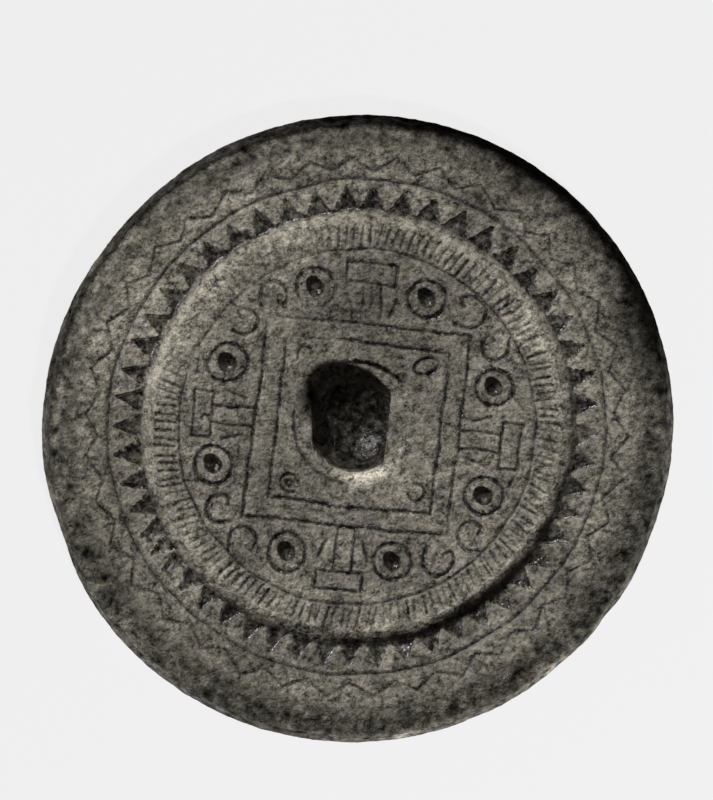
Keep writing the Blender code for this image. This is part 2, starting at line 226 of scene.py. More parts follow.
def cord_tunnel():
    half = HOLE_WIDTH / 2
    spring = HOLE_SILL + (HOLE_CROWN - HOLE_SILL) * HOLE_JAMB
    outline = [(-half, HOLE_SILL), (half, HOLE_SILL)]
    for turn in np.radians(np.linspace(0, 180, 25)):
        up = spring + (HOLE_CROWN - spring) * math.sin(turn)
        outline.append((half * math.cos(turn), up))
    start = KNOB_CENTRE.x - SEAT_RADIUS
    points = [(start, KNOB_CENTRE.y + across, height) for across, height in outline]
    bm = pushed_outline(points, (2 * SEAT_RADIUS, 0, 0))
    along = [edge for edge in bm.edges if edge.calc_length() > SEAT_RADIUS]
    bmesh.ops.subdivide_edges(bm, edges=along, cuts=32, use_grid_fill=True)
    return bm


def knob_end(way, foot, lean, turn):
    """What is cut away from one end of the knob, above the sill of the hole."""
    outline = (
        (CUT_REACH, HOLE_SILL),
        (foot, HOLE_SILL),
        (foot - 2 * lean, HOLE_SILL + 2 * CUT_RISE),
        (CUT_REACH, HOLE_SILL + 2 * CUT_RISE),
    )
    side = KNOB_CENTRE.y - CUT_HALF_WIDTH
    points = [(KNOB_CENTRE.x + way * out, side, up) for out, up in outline]
    bm = pushed_outline(points, (0, 2 * CUT_HALF_WIDTH, 0))
    bmesh.ops.subdivide_edges(bm, edges=bm.edges, cuts=27, use_grid_fill=True)
    pivot = KNOB_CENTRE + Vector((way * foot, 0, 0))
    swing = Matrix.Rotation(math.radians(turn), 3, "Z")
    bmesh.ops.rotate(bm, verts=bm.verts, cent=pivot, matrix=swing)
    return bm


def cut_away(obj, bm):
    """Cuts a solid out of an object."""
    cutter = solid("cutter", bm)
    modifier = obj.modifiers.new("cut", "BOOLEAN")
    modifier.object = cutter
    modifier.operation = "DIFFERENCE"
    modifier.solver = "EXACT"
    bpy.context.view_layer.update()
    graph = bpy.context.evaluated_depsgraph_get()
    mesh = bpy.data.meshes.new_from_object(obj.evaluated_get(graph))
    obj.modifiers.clear()
    obj.data = mesh
    bpy.data.objects.remove(cutter)


cut_away(mirror, knob_end(-1, *LEFT_CUT))
cut_away(mirror, knob_end(1, *RIGHT_CUT))
cut_away(mirror, cord_tunnel())


# Raised lines of the decoration
# They were cut into the mould as grooves, so they stand on the casting as low
# rounded ridges. Plan measures are in millimetres round the decoration's centre.
LINE_HALF = 0.34
LINE_TOP = 0.1
LINE_RISE = 0.33
STROKE_RISE = 0.29
ARC_STEP = 15.0

# Corners of the two squares
SQUARE_OUTER = ((16.25, 16.6), (-16.1, 16.55), (-16.7, -15.75), (16.15, -15.8))
SQUARE_INNER = ((13.2, 13.5), (-12.75, 13.55), (-12.95, -12.6), (13.2, -12.65))

# Each T in its quarter: from the border out to the near and far side of its bar
TEE_NEAR = 23.05
TEE_FAR = 26.1
TEE_ENDS = ((-4.0, 3.15), (-3.45, 4.3), (-3.55, 4.0), (-4.0, 3.4))
TEE_BORDER = (16.2, 16.6, 16.4, 15.8)
STEM_HALF = 1.42
FLANK = ((18.1, 2.95), (21.0, 3.9))
# Lines at the edge of the seat: radius, start and sweep in degrees, height, half width
SEAT_LINES = (
    (9.9, 50.0, 48.0, 0.4, 0.55),
    (9.7, 176.0, 90.0, 0.24, 0.42),
)
LEFT_TEE_ARCH = ((-24.6, -1.2), (-24.3, -0.4), (-23.5, -0.5), (-23.2, -1.3))
SHORT_STROKE = ((25.5, -5.2), (25.0, -6.8))

NIPPLE_CENTRES = (
    (8.6, 21.6),
    (21.1, 8.6),
    (21.3, -8.8),
    (7.9, -20.8),
    (-9.0, -20.9),
    (-22.0, -8.3),
    (-21.5, 8.2),
    (-8.9, 21.6),
)
NIPPLE_RADIUS = 1.4
NIPPLE_RISE = 1.35
NIPPLE_RING = 3.0
RING_RISE = 0.38
RING_HALF = 0.46

# Scrolls: centre, radius, bearing of the opening, way the curled end turns. The
# curl and the flare are given as shares of the radius and as degrees past the arc.
SCROLL_SWEEP = 255.0
CURL_RADIUS = 0.55
CURL_PAST = 12
FLARE_RADIUS = 1.25
FLARE_PAST = 14
SCROLLS = (
    (15.7, 20.15, 2.5, 180.0, 1),
    (20.2, 15.25, 2.1, 75.0, -1),
    (20.0, -15.5, 2.3, 345.0, -1),
    (15.0, -20.0, 2.4, 95.0, 1),
    (-20.2, -14.9, 2.15, 355.0, -1),
    (-16.2, -19.6, 2.1, 265.0, -1),
    (-19.6, 15.0, 2.0, 185.0, 1),
    (-15.6, 19.6, 2.2, 270.0, -1),
)
# Hooks and rings in the corners: centre, radius, bearing of the opening, sweep
CORNER_SCROLLS = (
    (-9.4, 10.8, 1.15, 290.0, 200.0),
    (-9.9, -10.1, 1.45, 340.0, 290.0),
    (-9.9, -10.1, 0.5, 0.0, 300.0),
    (10.5, -9.4, 1.5, 150.0, 265.0),
)
# Oval loop: centre, half length, half width, tilt
CORNER_LOOP = (9.75, 10.85, 1.95, 1.3, 30.0)

COMB_TEETH = 148
COMB_INNER = 29.0
COMB_LENGTH = 3.1
COMB_SLANT = 8.0
COMB_HALF = 0.29
COMB_RISE = 0.26
COMB_TOP = 0.08
# How unlike the comb-teeth are: shares of their length and height, and degrees of lean
COMB_LENGTHS = (0.92, 1.03)
COMB_RISES = (0.6, 1.15)
COMB_LEAN = 2.5

ZIGZAGS = 38
ZIGZAG_START = 3.5
ZIGZAG_INNER = 40.85
ZIGZAG_REACH = 2.2
ZIGZAG_RISE = 0.24
# Bearing, and how far the corners stand past even spacing there, in degrees
ZIGZAG_DRIFT = (
    (0, 0.9),
    (45, 1.8),
    (60, -0.5),
    (90, 0.0),
    (110, -1.0),
    (135, -0.6),
    (160, -1.5),
    (180, -0.9),
    (232, 0.0),
    (255, 0.9),
    (290, 1.9),
    (320, 1.7),
    (345, 0.8),
)

random = np.random.default_rng(11)
ridges = []


def polar(radius, degrees):
    angle = math.radians(degrees)
    return Vector((radius * math.cos(angle), radius * math.sin(angle)))


def arc(centre, radius, start, sweep):
    """Points along a circular arc, in degrees."""
    steps = max(3, round(abs(sweep) / ARC_STEP))
    return [Vector(centre) + polar(radius, start + sweep * i / steps) for i in range(steps + 1)]


def drift(bearing, knots):
    """How far a row of like shapes has wandered from even spacing, in degrees."""
    places, shifts = zip(*knots)
    return float(np.interp(bearing % 360, places, shifts, period=360))


def draw(points, rise=LINE_RISE, half=LINE_HALF, top=LINE_TOP, closed=False):
    """Notes each straight piece of a raised line: its ends, half widths and height."""
    points = [Vector(point) for point in points]
    ends = points[1:] + points[:1] if closed else points[1:]
    for start, end in zip(points, ends):
        ridges.append((start.x, start.y, end.x, end.y, half, top, rise))


def turned(points, quarter):
    """Points turned by quarter turns round the centre."""
    turn = Matrix.Rotation(quarter * math.pi / 2, 2)
    return [turn @ Vector(point) for point in points]


draw(SQUARE_OUTER, closed=True)
draw(SQUARE_INNER, closed=True)

for quarter in range(4):
    low, high = TEE_ENDS[quarter]
    bar = ((TEE_NEAR, low), (TEE_FAR, low), (TEE_FAR, high), (TEE_NEAR, high))
    draw(turned(bar, quarter), closed=True)
    for side in (-1, 1):
        stem = ((TEE_BORDER[quarter], side * STEM_HALF), (TEE_NEAR, side * STEM_HALF))
        draw(turned(stem, quarter), STROKE_RISE)
        draw(turned([(out, side * across) for out, across in FLANK], quarter), STROKE_RISE)

for radius, start, sweep, rise, half in SEAT_LINES:
    draw(arc(KNOB_CENTRE.xy / MM, radius, start, sweep), rise, half)
draw(LEFT_TEE_ARCH, STROKE_RISE)
draw(SHORT_STROKE, STROKE_RISE)

for centre in NIPPLE_CENTRES:
    draw(arc(centre, NIPPLE_RING, 0, 360)[:-1], RING_RISE, RING_HALF, closed=True)

for x, y, radius, opening, hand in SCROLLS:
    centre = Vector((x, y))
    start = opening - hand * (360 - SCROLL_SWEEP) / 2
    curl = centre + polar(radius * CURL_RADIUS, start + hand * CURL_PAST)
    flare = centre + polar(radius * FLARE_RADIUS, start - hand * (SCROLL_SWEEP + FLARE_PAST))
    bend = arc(centre, radius, start, -hand * SCROLL_SWEEP)[:-1]
    draw([curl] + bend + [flare], RING_RISE, RING_HALF)

for x, y, radius, opening, sweep in CORNER_SCROLLS:
    draw(arc((x, y), radius, opening + (360 - sweep) / 2, sweep), RING_RISE)

x, y, long_half, short_half, tilt = CORNER_LOOP
circle = arc((0, 0), 1, 0, 360)[:-1]
loop = [Vector((point.x * long_half, point.y * short_half)) for point in circle]
lean = Matrix.Rotation(math.radians(tilt), 2)
draw([Vector((x, y)) + lean @ point for point in loop], RING_RISE, closed=True)

for tooth in range(COMB_TEETH):
    bearing = 360 * tooth / COMB_TEETH + random.normal(0, 0.2)
    inner = polar(COMB_INNER + random.normal(0, 0.1), bearing)
    length = COMB_LENGTH * random.uniform(*COMB_LENGTHS)
    way = polar(length, bearing - COMB_SLANT + random.normal(0, COMB_LEAN))
    draw([inner, inner + way], COMB_RISE * random.uniform(*COMB_RISES), COMB_HALF, COMB_TOP)

zigzag = []
for turn in range(2 * ZIGZAGS):
    radius = ZIGZAG_INNER + ZIGZAG_REACH * (turn % 2) + random.normal(0, 0.06)
    bearing = ZIGZAG_START + 180 * (turn - 1) / ZIGZAGS + random.normal(0, 0.15)
    zigzag.append(polar(radius, bearing + drift(bearing, ZIGZAG_DRIFT)))
draw(zigzag, ZIGZAG_RISE, closed=True)
ridges = np.array(ridges)
ridges *= MM


# Places looked up together, so that the tables of distances stay small
BATCH = 3000


def nearest(places, spans):
    """Distance from each place to the nearest straight piece, the point there, and which."""
    away = np.full(len(places), 1.0)
    foot = places.copy()
    which = np.zeros(len(places), int)
    radius = np.hypot(places[:, 0], places[:, 1])
    starts = spans[:, :2]
    ways = spans[:, 2:4] - starts
    squares = (ways * ways).sum(1)
    share = np.clip(-(starts * ways).sum(1) / squares, 0, 1)
    depth = np.hypot(*(starts + ways * share[:, None]).T)
    reach = np.hypot(spans[:, (0, 2)], spans[:, (1, 3)]).max(1)
    order = np.argsort(radius)
    for part in np.array_split(order, max(1, len(order) // BATCH)):
        kept = np.flatnonzero((reach > radius[part[0]] - MM) & (depth < radius[part[-1]] + MM))
        if not len(kept):
            continue
        gap = places[part, None, :] - starts[None, kept]
        share = np.clip((gap * ways[kept]).sum(2) / squares[kept], 0, 1)
        gap -= share[:, :, None] * ways[kept]
        length = np.sqrt((gap * gap).sum(2))
        best = length.argmin(1)
        row = np.arange(len(part))
        away[part] = length[row, best]
        foot[part] = places[part] - gap[row, best]
        which[part] = kept[best]
    return away, foot, which


# Crown of sawteeth on the rim
# A raised circle at the top of the step carries solid triangular teeth. They
# are flat on top, with a little draft, and crowd together on one side.
SAWTEETH = 52
SAWTOOTH_START = 7.6
SAWTOOTH_CROWDING = 3.9
SAWTOOTH_CROWDING_FROM = 53.0
SAWTOOTH_DRIFT = (
    (0, 0.1),
    (30, 0.6),
    (55, -1.2),
    (75, -0.2),
    (105, -0.9),
    (150, 0.6),
    (210, 2.4),
    (226, -1.4),
    (270, -0.6),
    (335, 1.5),
)
SAWTOOTH_HALF = 0.46
CROWN_INNER = RIM_INNER - 0.455 * MM
CROWN_BASE = RIM_INNER + 0.195 * MM
CROWN_TOP = RIM_HEIGHT + 0.40 * MM
SAWTOOTH_LENGTH = 3.9 * MM
SAWTOOTH_DRAFT = 0.17 * MM
CROWN_SHOWN = 0.88


def sawtooth_bearing(tooth):
    """Bearing of a tooth, with the teeth closer together on one side."""
    even = 360 * tooth / SAWTEETH
    shift = SAWTOOTH_CROWDING * math.sin(math.radians(even - SAWTOOTH_CROWDING_FROM))
    bearing = SAWTOOTH_START + even + shift
    return bearing + drift(bearing, SAWTOOTH_DRIFT)


crown = []
for tooth in range(SAWTEETH):
    for offset, reach in ((-SAWTOOTH_HALF, 0.0), (0.0, SAWTOOTH_LENGTH), (SAWTOOTH_HALF, 0.0)):
        crown.append((math.radians(sawtooth_bearing(tooth + offset)), CROWN_BASE + reach))
crown = np.array(crown)
crown_corners = crown[:, 1:] * np.column_stack((np.cos(crown[:, 0]), np.sin(crown[:, 0])))
crown_spans = np.column_stack((crown_corners, np.roll(crown_corners, -1, axis=0)))


def crown_inset(places):
    """How far inside the toothed outline each place is, and the outline's nearest point."""
    bearing = (np.arctan2(places[:, 1], places[:, 0]) - crown[0, 0]) % math.tau + crown[0, 0]
    at = np.searchsorted(crown[:, 0], bearing, side="right") - 1
    start = crown[at]
    end = crown[(at + 1) % len(crown)]
    span = (end[:, 0] - start[:, 0]) % math.tau
    part = bearing - start[:, 0]
    edge = start[:, 1] * end[:, 1] * np.sin(span)
    edge /= start[:, 1] * np.sin(part) + end[:, 1] * np.sin(span - part)
    away, foot, _ = nearest(places, crown_spans)
    inside = np.hypot(places[:, 0], places[:, 1]) < edge
    return np.where(inside, away, -away), foot


# Finer mesh where the casting has relief
# The raised work needs edges of about a fifth of a millimetre. The plain ground
# between keeps the coarser triangles of the turned form.
FINE_MARGIN = 0.17 * MM
COARSE_EDGE = 0.3 * MM
BACK_FLOOR = FIELD_HEIGHT - 0.01 * MM


def relief_gap(places):
    """Distance from each place to the nearest raised thing, 0 on top of it."""
    away, _, which = nearest(places, ridges)
    gap = np.maximum(away - ridges[which, 4], 0)
    inset, _ = crown_inset(places)
    gap = np.minimum(gap, np.abs(inset))
    for centre in NIPPLE_CENTRES:
        reach = np.hypot(*(places - np.array(centre) * MM).T)
        gap = np.minimum(gap, np.maximum(reach - NIPPLE_RADIUS * MM, 0))
    return gap


def refine(mesh):
    bm = bmesh.new()
    bm.from_mesh(mesh)
    bmesh.ops.triangulate(bm, faces=bm.faces)
    upper = [edge for edge in bm.edges if min(v.co.z for v in edge.verts) > BACK_FLOOR]
    middles = np.array([(edge.verts[0].co + edge.verts[1].co).xy / 2 for edge in upper])
    close = relief_gap(middles) < FINE_MARGIN
    wanted = [edge for edge, near in zip(upper, close) if near]
    chosen = [edge for edge in wanted if edge.calc_length() > COARSE_EDGE]
    bmesh.ops.subdivide_edges(bm, edges=chosen, cuts=1)
    bmesh.ops.triangulate(bm, faces=bm.faces)
    bm.to_mesh(mesh)
    bm.free()


refine(mirror.data)


# Relief, wear and corrosion
# Use has rounded the raised work and burial has roughened the metal. Patches
# where lines have all but gone: place, radius and share of the height lost.
WORN = (
    (-15.5, 16.2, 1.8, 0.85),
    (-13.0, 27.8, 4.5, 0.7),
    (-19.8, 24.0, 3.6, 0.8),
    (-25.5, 18.0, 3.6, 0.8),
    (-28.5, 10.5, 4.5, 0.7),
    (-4.0, 20.0, 4.0, 0.5),
    (16.2, -14.8, 1.6, 0.6),
    (-9.5, 18.4, 2.0, 0.9),
    (13.4, 11.0, 1.6, 0.9),
    (-6.0, 13.5, 2.8, 0.6),
    (-12.2, 13.3, 2.4, 0.75),
)
# Patches where corrosion has eaten the surface: place, radius, how much rougher
CORRODED = (
    (7.2, -0.6, 2.8, 2.2),
    (-6.0, 0.5, 3.0, 1.2),
    (31.0, -19.0, 5.0, 0.8),
    (39.0, -8.0, 6.0, 0.8),
    (12.0, -36.0, 6.0, 0.8),
    (-3.0, 42.0, 7.0, 0.7),
)
RELIEF_INNER = 8 * MM
RELIEF_OUTER = LIP_FOOT + 0.5 * MM
# How near a vertex has to be to the edge of a line, as a share, or of a sawtooth
LINE_PULL = 1 / 3.2
CROWN_PULL = 0.1 * MM
NIPPLE_POWER = 2.2
CIRCLE_HALF = 0.26 * MM
CROWN_ROUNDING = 0.2 * MM
# Lines stand higher and lower along their length: by what share, and how often
UNEVEN = 0.45
UNEVEN_SIZE = 2.2 * MM

# Depth and width of the cast surface's swells and pits, and how far the relief wanders
SWELLS = (0.1 * MM, 3.0 * MM)
PITS = (0.06 * MM, 0.7 * MM)
WANDER = (0.35 * MM, 7 * MM)
WANDER_INNER = 11 * MM
POLISHED_BELOW = FACE_EDGE + 0.05 * MM
POLISHED_SHARE = 0.1

# The outer edge: its shift against the decoration, its swell, and its chips as
# bearing, half width in degrees and depth in millimetres
EDGE_OFFSET = 0.62 * MM
EDGE_OFFSET_BEARING = -55.0
EDGE_SWELL = 0.2
EDGE_SWELL_BEARING = -134.0
EDGE_CHIPS = (
    (-12, 9, 0.30),
    (-31, 3, 0.35),
    (-44, 8, 0.25),
    (-62, 3, 0.15),
    (-155, 8, 0.55),
    (146, 14, 0.30),
)
# How fast the finer parts of the noise grow weaker
NOISE_FALL = 0.9


def noise_at(places, size, octaves=3, offset=0.0):
    """Smooth noise of about -1 to 1 at each place, with features of the given size."""
    shift = Vector((offset, offset * 0.7, offset * 0.3))
    spots = [Vector(place) / size + shift for place in places]
    return np.array([noise.fractal(spot, NOISE_FALL, 2.0, octaves) for spot in spots])


def rounded(share):
    """A soft shoulder: 0 below 0, 1 above 1."""
    share = np.clip(share, 0, 1)
    return share * share * (3 - 2 * share)


def slide(places, towards, off, reach):
    """Moves the places that lie close beside a line onto it, so that its edge stays crisp."""
    length = np.hypot(*(towards - places).T)
    way = (towards - places) / np.maximum(length, 1e-9)[:, None]
    close = (np.abs(off) < reach) & (length > 0.01 * MM)
    return np.where(close[:, None], places + way * off[:, None], places)


def edge_wear(degrees):
    """How far the outer edge stands out of round at each bearing."""
    wear = EDGE_SWELL * np.cos(2 * np.radians(degrees - EDGE_SWELL_BEARING))
    for bearing, half_width, depth in EDGE_CHIPS:
        away = ((degrees - bearing + 180) % 360 - 180) / half_width
        wear -= depth * np.exp(-away * away)
    return wear * MM


def read(mesh, what):
    values = np.empty(len(mesh.vertices) * 3)
    mesh.vertices.foreach_get(what, values)
    return values.reshape(-1, 3)


def move(mesh, coords):
    mesh.vertices.foreach_set("co", coords.ravel())
    mesh.update()


def keep(mesh, name, values):
    mesh.attributes.new(name, "FLOAT", "POINT").data.foreach_set("value", values)


def pull_to_edges(places):
    """Moves the places beside a line or a sawtooth onto its edge."""
    away, foot, which = nearest(places, ridges)
    half = ridges[which, 4]
    rows = np.minimum(np.round(away / (half / 2)) * half / 2, half)
    places = slide(places, foot, away - rows, half * LINE_PULL)
    inset, foot = crown_inset(places)
    return slide(places, foot, np.abs(inset), CROWN_PULL)


def relief_at(surface):
    """How high the lines, circles and nipples stand, and how clearly they show."""
    places = surface[:, :2]
    away, _, which = nearest(places, ridges)
    half, top, rise = ridges[which, 4:].T
    line = rounded((half - away) / (half - top))
    shown = line * np.minimum(rise / (LINE_RISE * MM), 1)
    raised = rise * line * (1.0 + UNEVEN * noise_at(surface, UNEVEN_SIZE, 2, 3.0))
    for circle in (FIELD_RADIUS, RIM_LINE):
        off = np.abs(np.hypot(*places.T) - circle)
        line = rounded(1.2 - off / CIRCLE_HALF)
        shown = np.maximum(shown, line)
        raised = np.maximum(raised, LINE_RISE * MM * line)
    for centre in NIPPLE_CENTRES:
        reach = np.hypot(*(places - np.array(centre) * MM).T) / (NIPPLE_RADIUS * MM)
        dome = NIPPLE_RISE * MM * np.sqrt(np.clip(1 - reach**NIPPLE_POWER, 0, 1))
        raised = np.maximum(raised, dome)
        shown = np.maximum(shown, dome > 0)
    for x, y, size, loss in WORN:
        spread = np.hypot(places[:, 0] - x * MM, places[:, 1] - y * MM) / (size * MM)
        left = 1 - loss * np.exp(-spread * spread)
        raised *= left
        shown *= left
    return raised, shown


def raise_relief(mesh):
    """Raises the decoration on the back, and notes how clearly it shows."""
    coords = read(mesh, "co")
    up = read(mesh, "normal")[:, 2]
    radius = np.hypot(coords[:, 0], coords[:, 1])
    on_back = (up > 0.2) & (coords[:, 2] > BACK_FLOOR)
    back = np.flatnonzero(on_back & (radius > RELIEF_INNER) & (radius < RELIEF_OUTER))
    places = pull_to_edges(coords[back, :2])
    coords[back, :2] = places
    raised, shown = relief_at(coords[back])

    inset, _ = crown_inset(places)
    inner = (np.hypot(*places.T) - CROWN_INNER) / CROWN_ROUNDING
    crowned = rounded(inset / SAWTOOTH_DRAFT) * rounded(inner)
    height = coords[back, 2] + raised
    height += np.maximum(CROWN_TOP - height, 0) * crowned
    coords[back, 2] = height
    move(mesh, coords)
    lifted = np.zeros(len(coords))
    lifted[back] = np.maximum(shown, CROWN_SHOWN * crowned)
    keep(mesh, "raised", lifted)


def wear_edge(mesh):
    """Moves the lip and the side out of round, and centres the outline on the origin."""
    coords = read(mesh, "co")
    radius = np.hypot(coords[:, 0], coords[:, 1])
    share = np.clip((radius - LIP_FOOT) / (OUTER - LIP_FOOT), 0, 1)
    bearing = np.degrees(np.arctan2(coords[:, 1], coords[:, 0]))
    worn = 1 + edge_wear(bearing) * share * share / np.maximum(radius, MM)
    coords[:, :2] *= worn[:, None]
    offset = np.array(polar(EDGE_OFFSET, EDGE_OFFSET_BEARING))
    coords[:, :2] += offset * (share * share)[:, None] - offset
    move(mesh, coords)


def roughen(mesh):
    """Unevenness of the cast and corroded surface."""
    coords = read(mesh, "co")
    normal = read(mesh, "normal")
    polished = coords[:, 2] < POLISHED_BELOW
    depth = SWELLS[0] * noise_at(coords, SWELLS[1], 3, 5.0)
    depth += PITS[0] * noise_at(coords, PITS[1], 1, 31.0)
    decor = coords[:, :2] + np.array(polar(EDGE_OFFSET, EDGE_OFFSET_BEARING))
    for x, y, size, more in CORRODED:
        spread = np.hypot(*(decor - np.array((x, y)) * MM).T) / (size * MM)
        depth *= 1 + more * np.exp(-spread * spread)
    depth[polished] *= POLISHED_SHARE
    coords += normal * depth[:, None]
    # It lies on the floor, not in it
    coords[:, 2] = np.maximum(coords[:, 2], 0)
    on_back = (coords[:, 2] > FIELD_HEIGHT - 0.3 * MM) & (np.hypot(*decor.T) > WANDER_INNER)
    coords[on_back, 0] += WANDER[0] * noise_at(coords[on_back], WANDER[1], 2, 53.0)
    coords[on_back, 1] += WANDER[0] * noise_at(coords[on_back], WANDER[1], 2, 67.0)
    move(mesh, coords)


# Where the surface is painted lighter or darker than the ground: bearing and distance from the
# middle of the outline, spread of the patch, and how strongly it tells. Most are patches of patina;
# the ones marked below are painted shade or painted light
STAINS_LIGHT_AND_SHADE = (
    # Painted shade on the side at the upper right, which faces away from the key lamp
    (27, 50.5, 8, -0.75),
    (-10, 48, 8, -0.4),
    (160, 41, 12, 0.35),
    (156, 47, 7, 0.35),
    (213, 47.5, 6, -0.25),
    (186, 47, 6, -0.15),
    (66, 47.5, 6, -0.35),
    (40, 47.5, 6, -0.25),
    (216, 31, 5, 0.3),
    (36, 31, 6, 0.35),
    (105, 41, 8, 0.3),
    (126, 41, 7, 0.25),
    (40, 41, 9, 0.3),
    (-55, 39, 10, -0.1),
    (-30, 47, 7, -0.3),
    (-110, 48, 9, -0.35),
    (-75, 47, 6, -0.2),
    (141, 32, 9, 0.15),
    (75, 18, 11, -0.3),
    (-102, 14, 5, -0.25),
    (-140, 14, 7, -0.3),
    # Painted light on the side at the lower right, which faces the key lamp
    (-45, 50.5, 3.5, 1.3),
    (-75, 50.5, 3.5, 0.9),
    (240, 51.5, 5, 0.5),
    # Painted shadow of the knob, cast on its seat at the upper left, away from the key lamp
    (149, 9.8, 1.9, -0.97),
    (125, 9.7, 2.3, -0.55),
    (160, 9.0, 1.4, -0.93),
)
# Tone of the lip, of its outer arris, of the knob and of the slope, against the ground. The arris
# is darker partly as patina and partly as painted shade where the edge rolls over.
LIP_TONE = 0.54
LIP_FADE = 2 * MM
EDGE_PATINA_AND_SHADE = 0.6
EDGE_SPREAD = 0.9 * MM
KNOB_TONE = 0.42
KNOB_FADE = 0.6 * MM
KNOB_FRAY = (0.5 * MM, 2 * MM)
SLOPE_MIDDLE = COMB_OUTER - 0.5 * MM
SLOPE_TONE = 1.4
SLOPE_SPREAD = 1.5 * MM
# Long streaks round the decoration's middle: bearing, half of their sweep, radius, half width and
# how strongly they tell. Painted shade on the side at the upper right, which faces away from the
# key lamp; the side at the left made paler, partly as painted light; and painted shade along the
# foot of the slope where it faces away from the key lamp.
SHADE_AND_LIGHT_STREAKS = (
    # Painted shade on the side away from the key lamp
    (58.0, 51.0, LIP_EDGE + 0.9 * MM, 1.7 * MM, -0.94),
    # Paler side at the left, partly painted light
    (198.0, 34.0, LIP_EDGE + 0.5 * MM, 1.2 * MM, 1.8),
    (138.0, 26.0, LIP_EDGE + 0.5 * MM, 1.2 * MM, 0.9),
    # Painted shade at the foot of the slope, on the side away from the key lamp
    (-54.0, 40.0, RIM_INNER - 0.5 * MM, 0.9 * MM, -0.7),
)
# A painted highlight: a lighter crescent in the hollow under the knob, on the side that faces the
# key lamp
PAINTED_CRESCENT_LIGHT = (-64.0, 42.0, KNOB_RADIUS + 1.15 * MM, 0.8 * MM, 2.2)
# Mottling: strength and size of the patches
MOTTLE = (0.4, 6 * MM)
LIP_MOTTLE = (1.1, 1.6 * MM)
PIT_SPECKS = (0.4, 1.1 * MM)
KNOB_SPECKS = (1.2, 0.8 * MM)
TONE_LIMITS = (0.04, 4.0)
# How far the raised work, the knob and the face are rubbed: middle, strength and size
RUBBED = (1.15, 0.45, 1.2 * MM)
KNOB_RUBBED = 0.9
FACE_RUBBED = (0.75, 0.9, 9 * MM)


def sickle(places, bearing, half_sweep, radius, half_width, strength):
    """A tone along part of a circle round the middle of the places."""
    turn = np.degrees(np.arctan2(places[:, 1], places[:, 0])) - bearing
    along = ((turn + 180) % 360 - 180) / half_sweep
    across = (np.hypot(*places.T) - radius) / half_width
    return 1 + strength * np.exp(-along**4 - across * across)


def knob_share(coords, decor):
    """1 on the knob above its seat and 0 off it, with a frayed edge."""
    from_knob = np.hypot(*(decor - np.array(KNOB_CENTRE.xy)).T)
    from_knob += KNOB_FRAY[0] * noise_at(coords, KNOB_FRAY[1], 3, 23.0)
    above_seat = coords[:, 2] > HOLE_SILL + 0.2 * MM
    return rounded((KNOB_RADIUS - from_knob) / KNOB_FADE) * above_seat


def patina_and_painted_tone(coords, decor):
    """How light the surface is painted off the knob, against 1 on the plain ground: the patina,
    with painted shade and painted light in some patches and streaks.
    """
    radius = np.hypot(*decor.T)
    tone = 1 - (1 - LIP_TONE) * rounded((radius - LIP_FOOT) / LIP_FADE + 0.5)
    band = (radius - SLOPE_MIDDLE) / SLOPE_SPREAD
    tone *= 1 + (SLOPE_TONE - 1) * np.exp(-band * band)
    for bearing, distance, spread, strength in STAINS_LIGHT_AND_SHADE:
        middle = np.array(polar(distance * MM, bearing))
        away = np.hypot(*(coords[:, :2] - middle).T) / (spread * MM)
        tone *= 1 + strength * np.exp(-away * away)
    # Darker along the outer arris: partly patina, partly painted shade
    arris = (radius - LIP_EDGE) / EDGE_SPREAD
    tone *= 1 - (1 - EDGE_PATINA_AND_SHADE) * np.exp(-arris * arris)
    # Painted shade and light in streaks, and a painted highlight under the knob
    for streak in SHADE_AND_LIGHT_STREAKS:
        tone *= sickle(decor, *streak)
    tone *= sickle(decor - np.array(KNOB_CENTRE.xy), *PAINTED_CRESCENT_LIGHT)
    tone *= 1 + MOTTLE[0] * noise_at(coords, MOTTLE[1], 4, 17.0)
    on_lip = rounded((radius - LIP_FOOT) / LIP_FADE)
    tone *= 1 + LIP_MOTTLE[0] * on_lip * noise_at(coords, LIP_MOTTLE[1], 3, 83.0)
    specks = noise_at(coords, PIT_SPECKS[1], 2, 71.0)
    for x, y, size, more in CORRODED:
        spread = np.hypot(*(decor - np.array((x, y)) * MM).T) / (size * MM)
        tone *= 1 + PIT_SPECKS[0] * more * specks * np.exp(-spread * spread)
    return tone


def rubbed_share(mesh, coords, on_knob):
    """How far each vertex was rubbed dark and smooth."""
    raised = np.empty(len(coords))
    mesh.attributes["raised"].data.foreach_get("value", raised)
    worn = RUBBED[0] + RUBBED[1] * noise_at(coords, RUBBED[2], 3, 41.0)
    rubbed = np.clip(raised * worn, 0, 1)
    rubbed = np.maximum(rubbed, on_knob * KNOB_RUBBED)
    # The face below was kept smooth, and the crust lies on it in patches only
    polished = coords[:, 2] < POLISHED_BELOW
    smooth = FACE_RUBBED[0] + FACE_RUBBED[1] * noise_at(coords, FACE_RUBBED[2], 4, 91.0)
    return np.where(polished, np.clip(smooth, 0, 1), rubbed)


def stain_and_shade(mesh):
    """Notes how light the patina is, painted shade and light included, and how far it was rubbed.
    """
    coords = read(mesh, "co")
    decor = coords[:, :2] + np.array(polar(EDGE_OFFSET, EDGE_OFFSET_BEARING))
    on_knob = knob_share(coords, decor)
    speckled = KNOB_TONE * (1 + KNOB_SPECKS[0] * noise_at(coords, KNOB_SPECKS[1], 2, 61.0))
    tone = patina_and_painted_tone(coords, decor) * (1 - (1 - speckled) * on_knob)
    keep(mesh, "tone", np.clip(tone, *TONE_LIMITS))
    keep(mesh, "rubbed", rubbed_share(mesh, coords, on_knob))


raise_relief(mirror.data)
wear_edge(mirror.data)
roughen(mirror.data)
stain_and_shade(mirror.data)


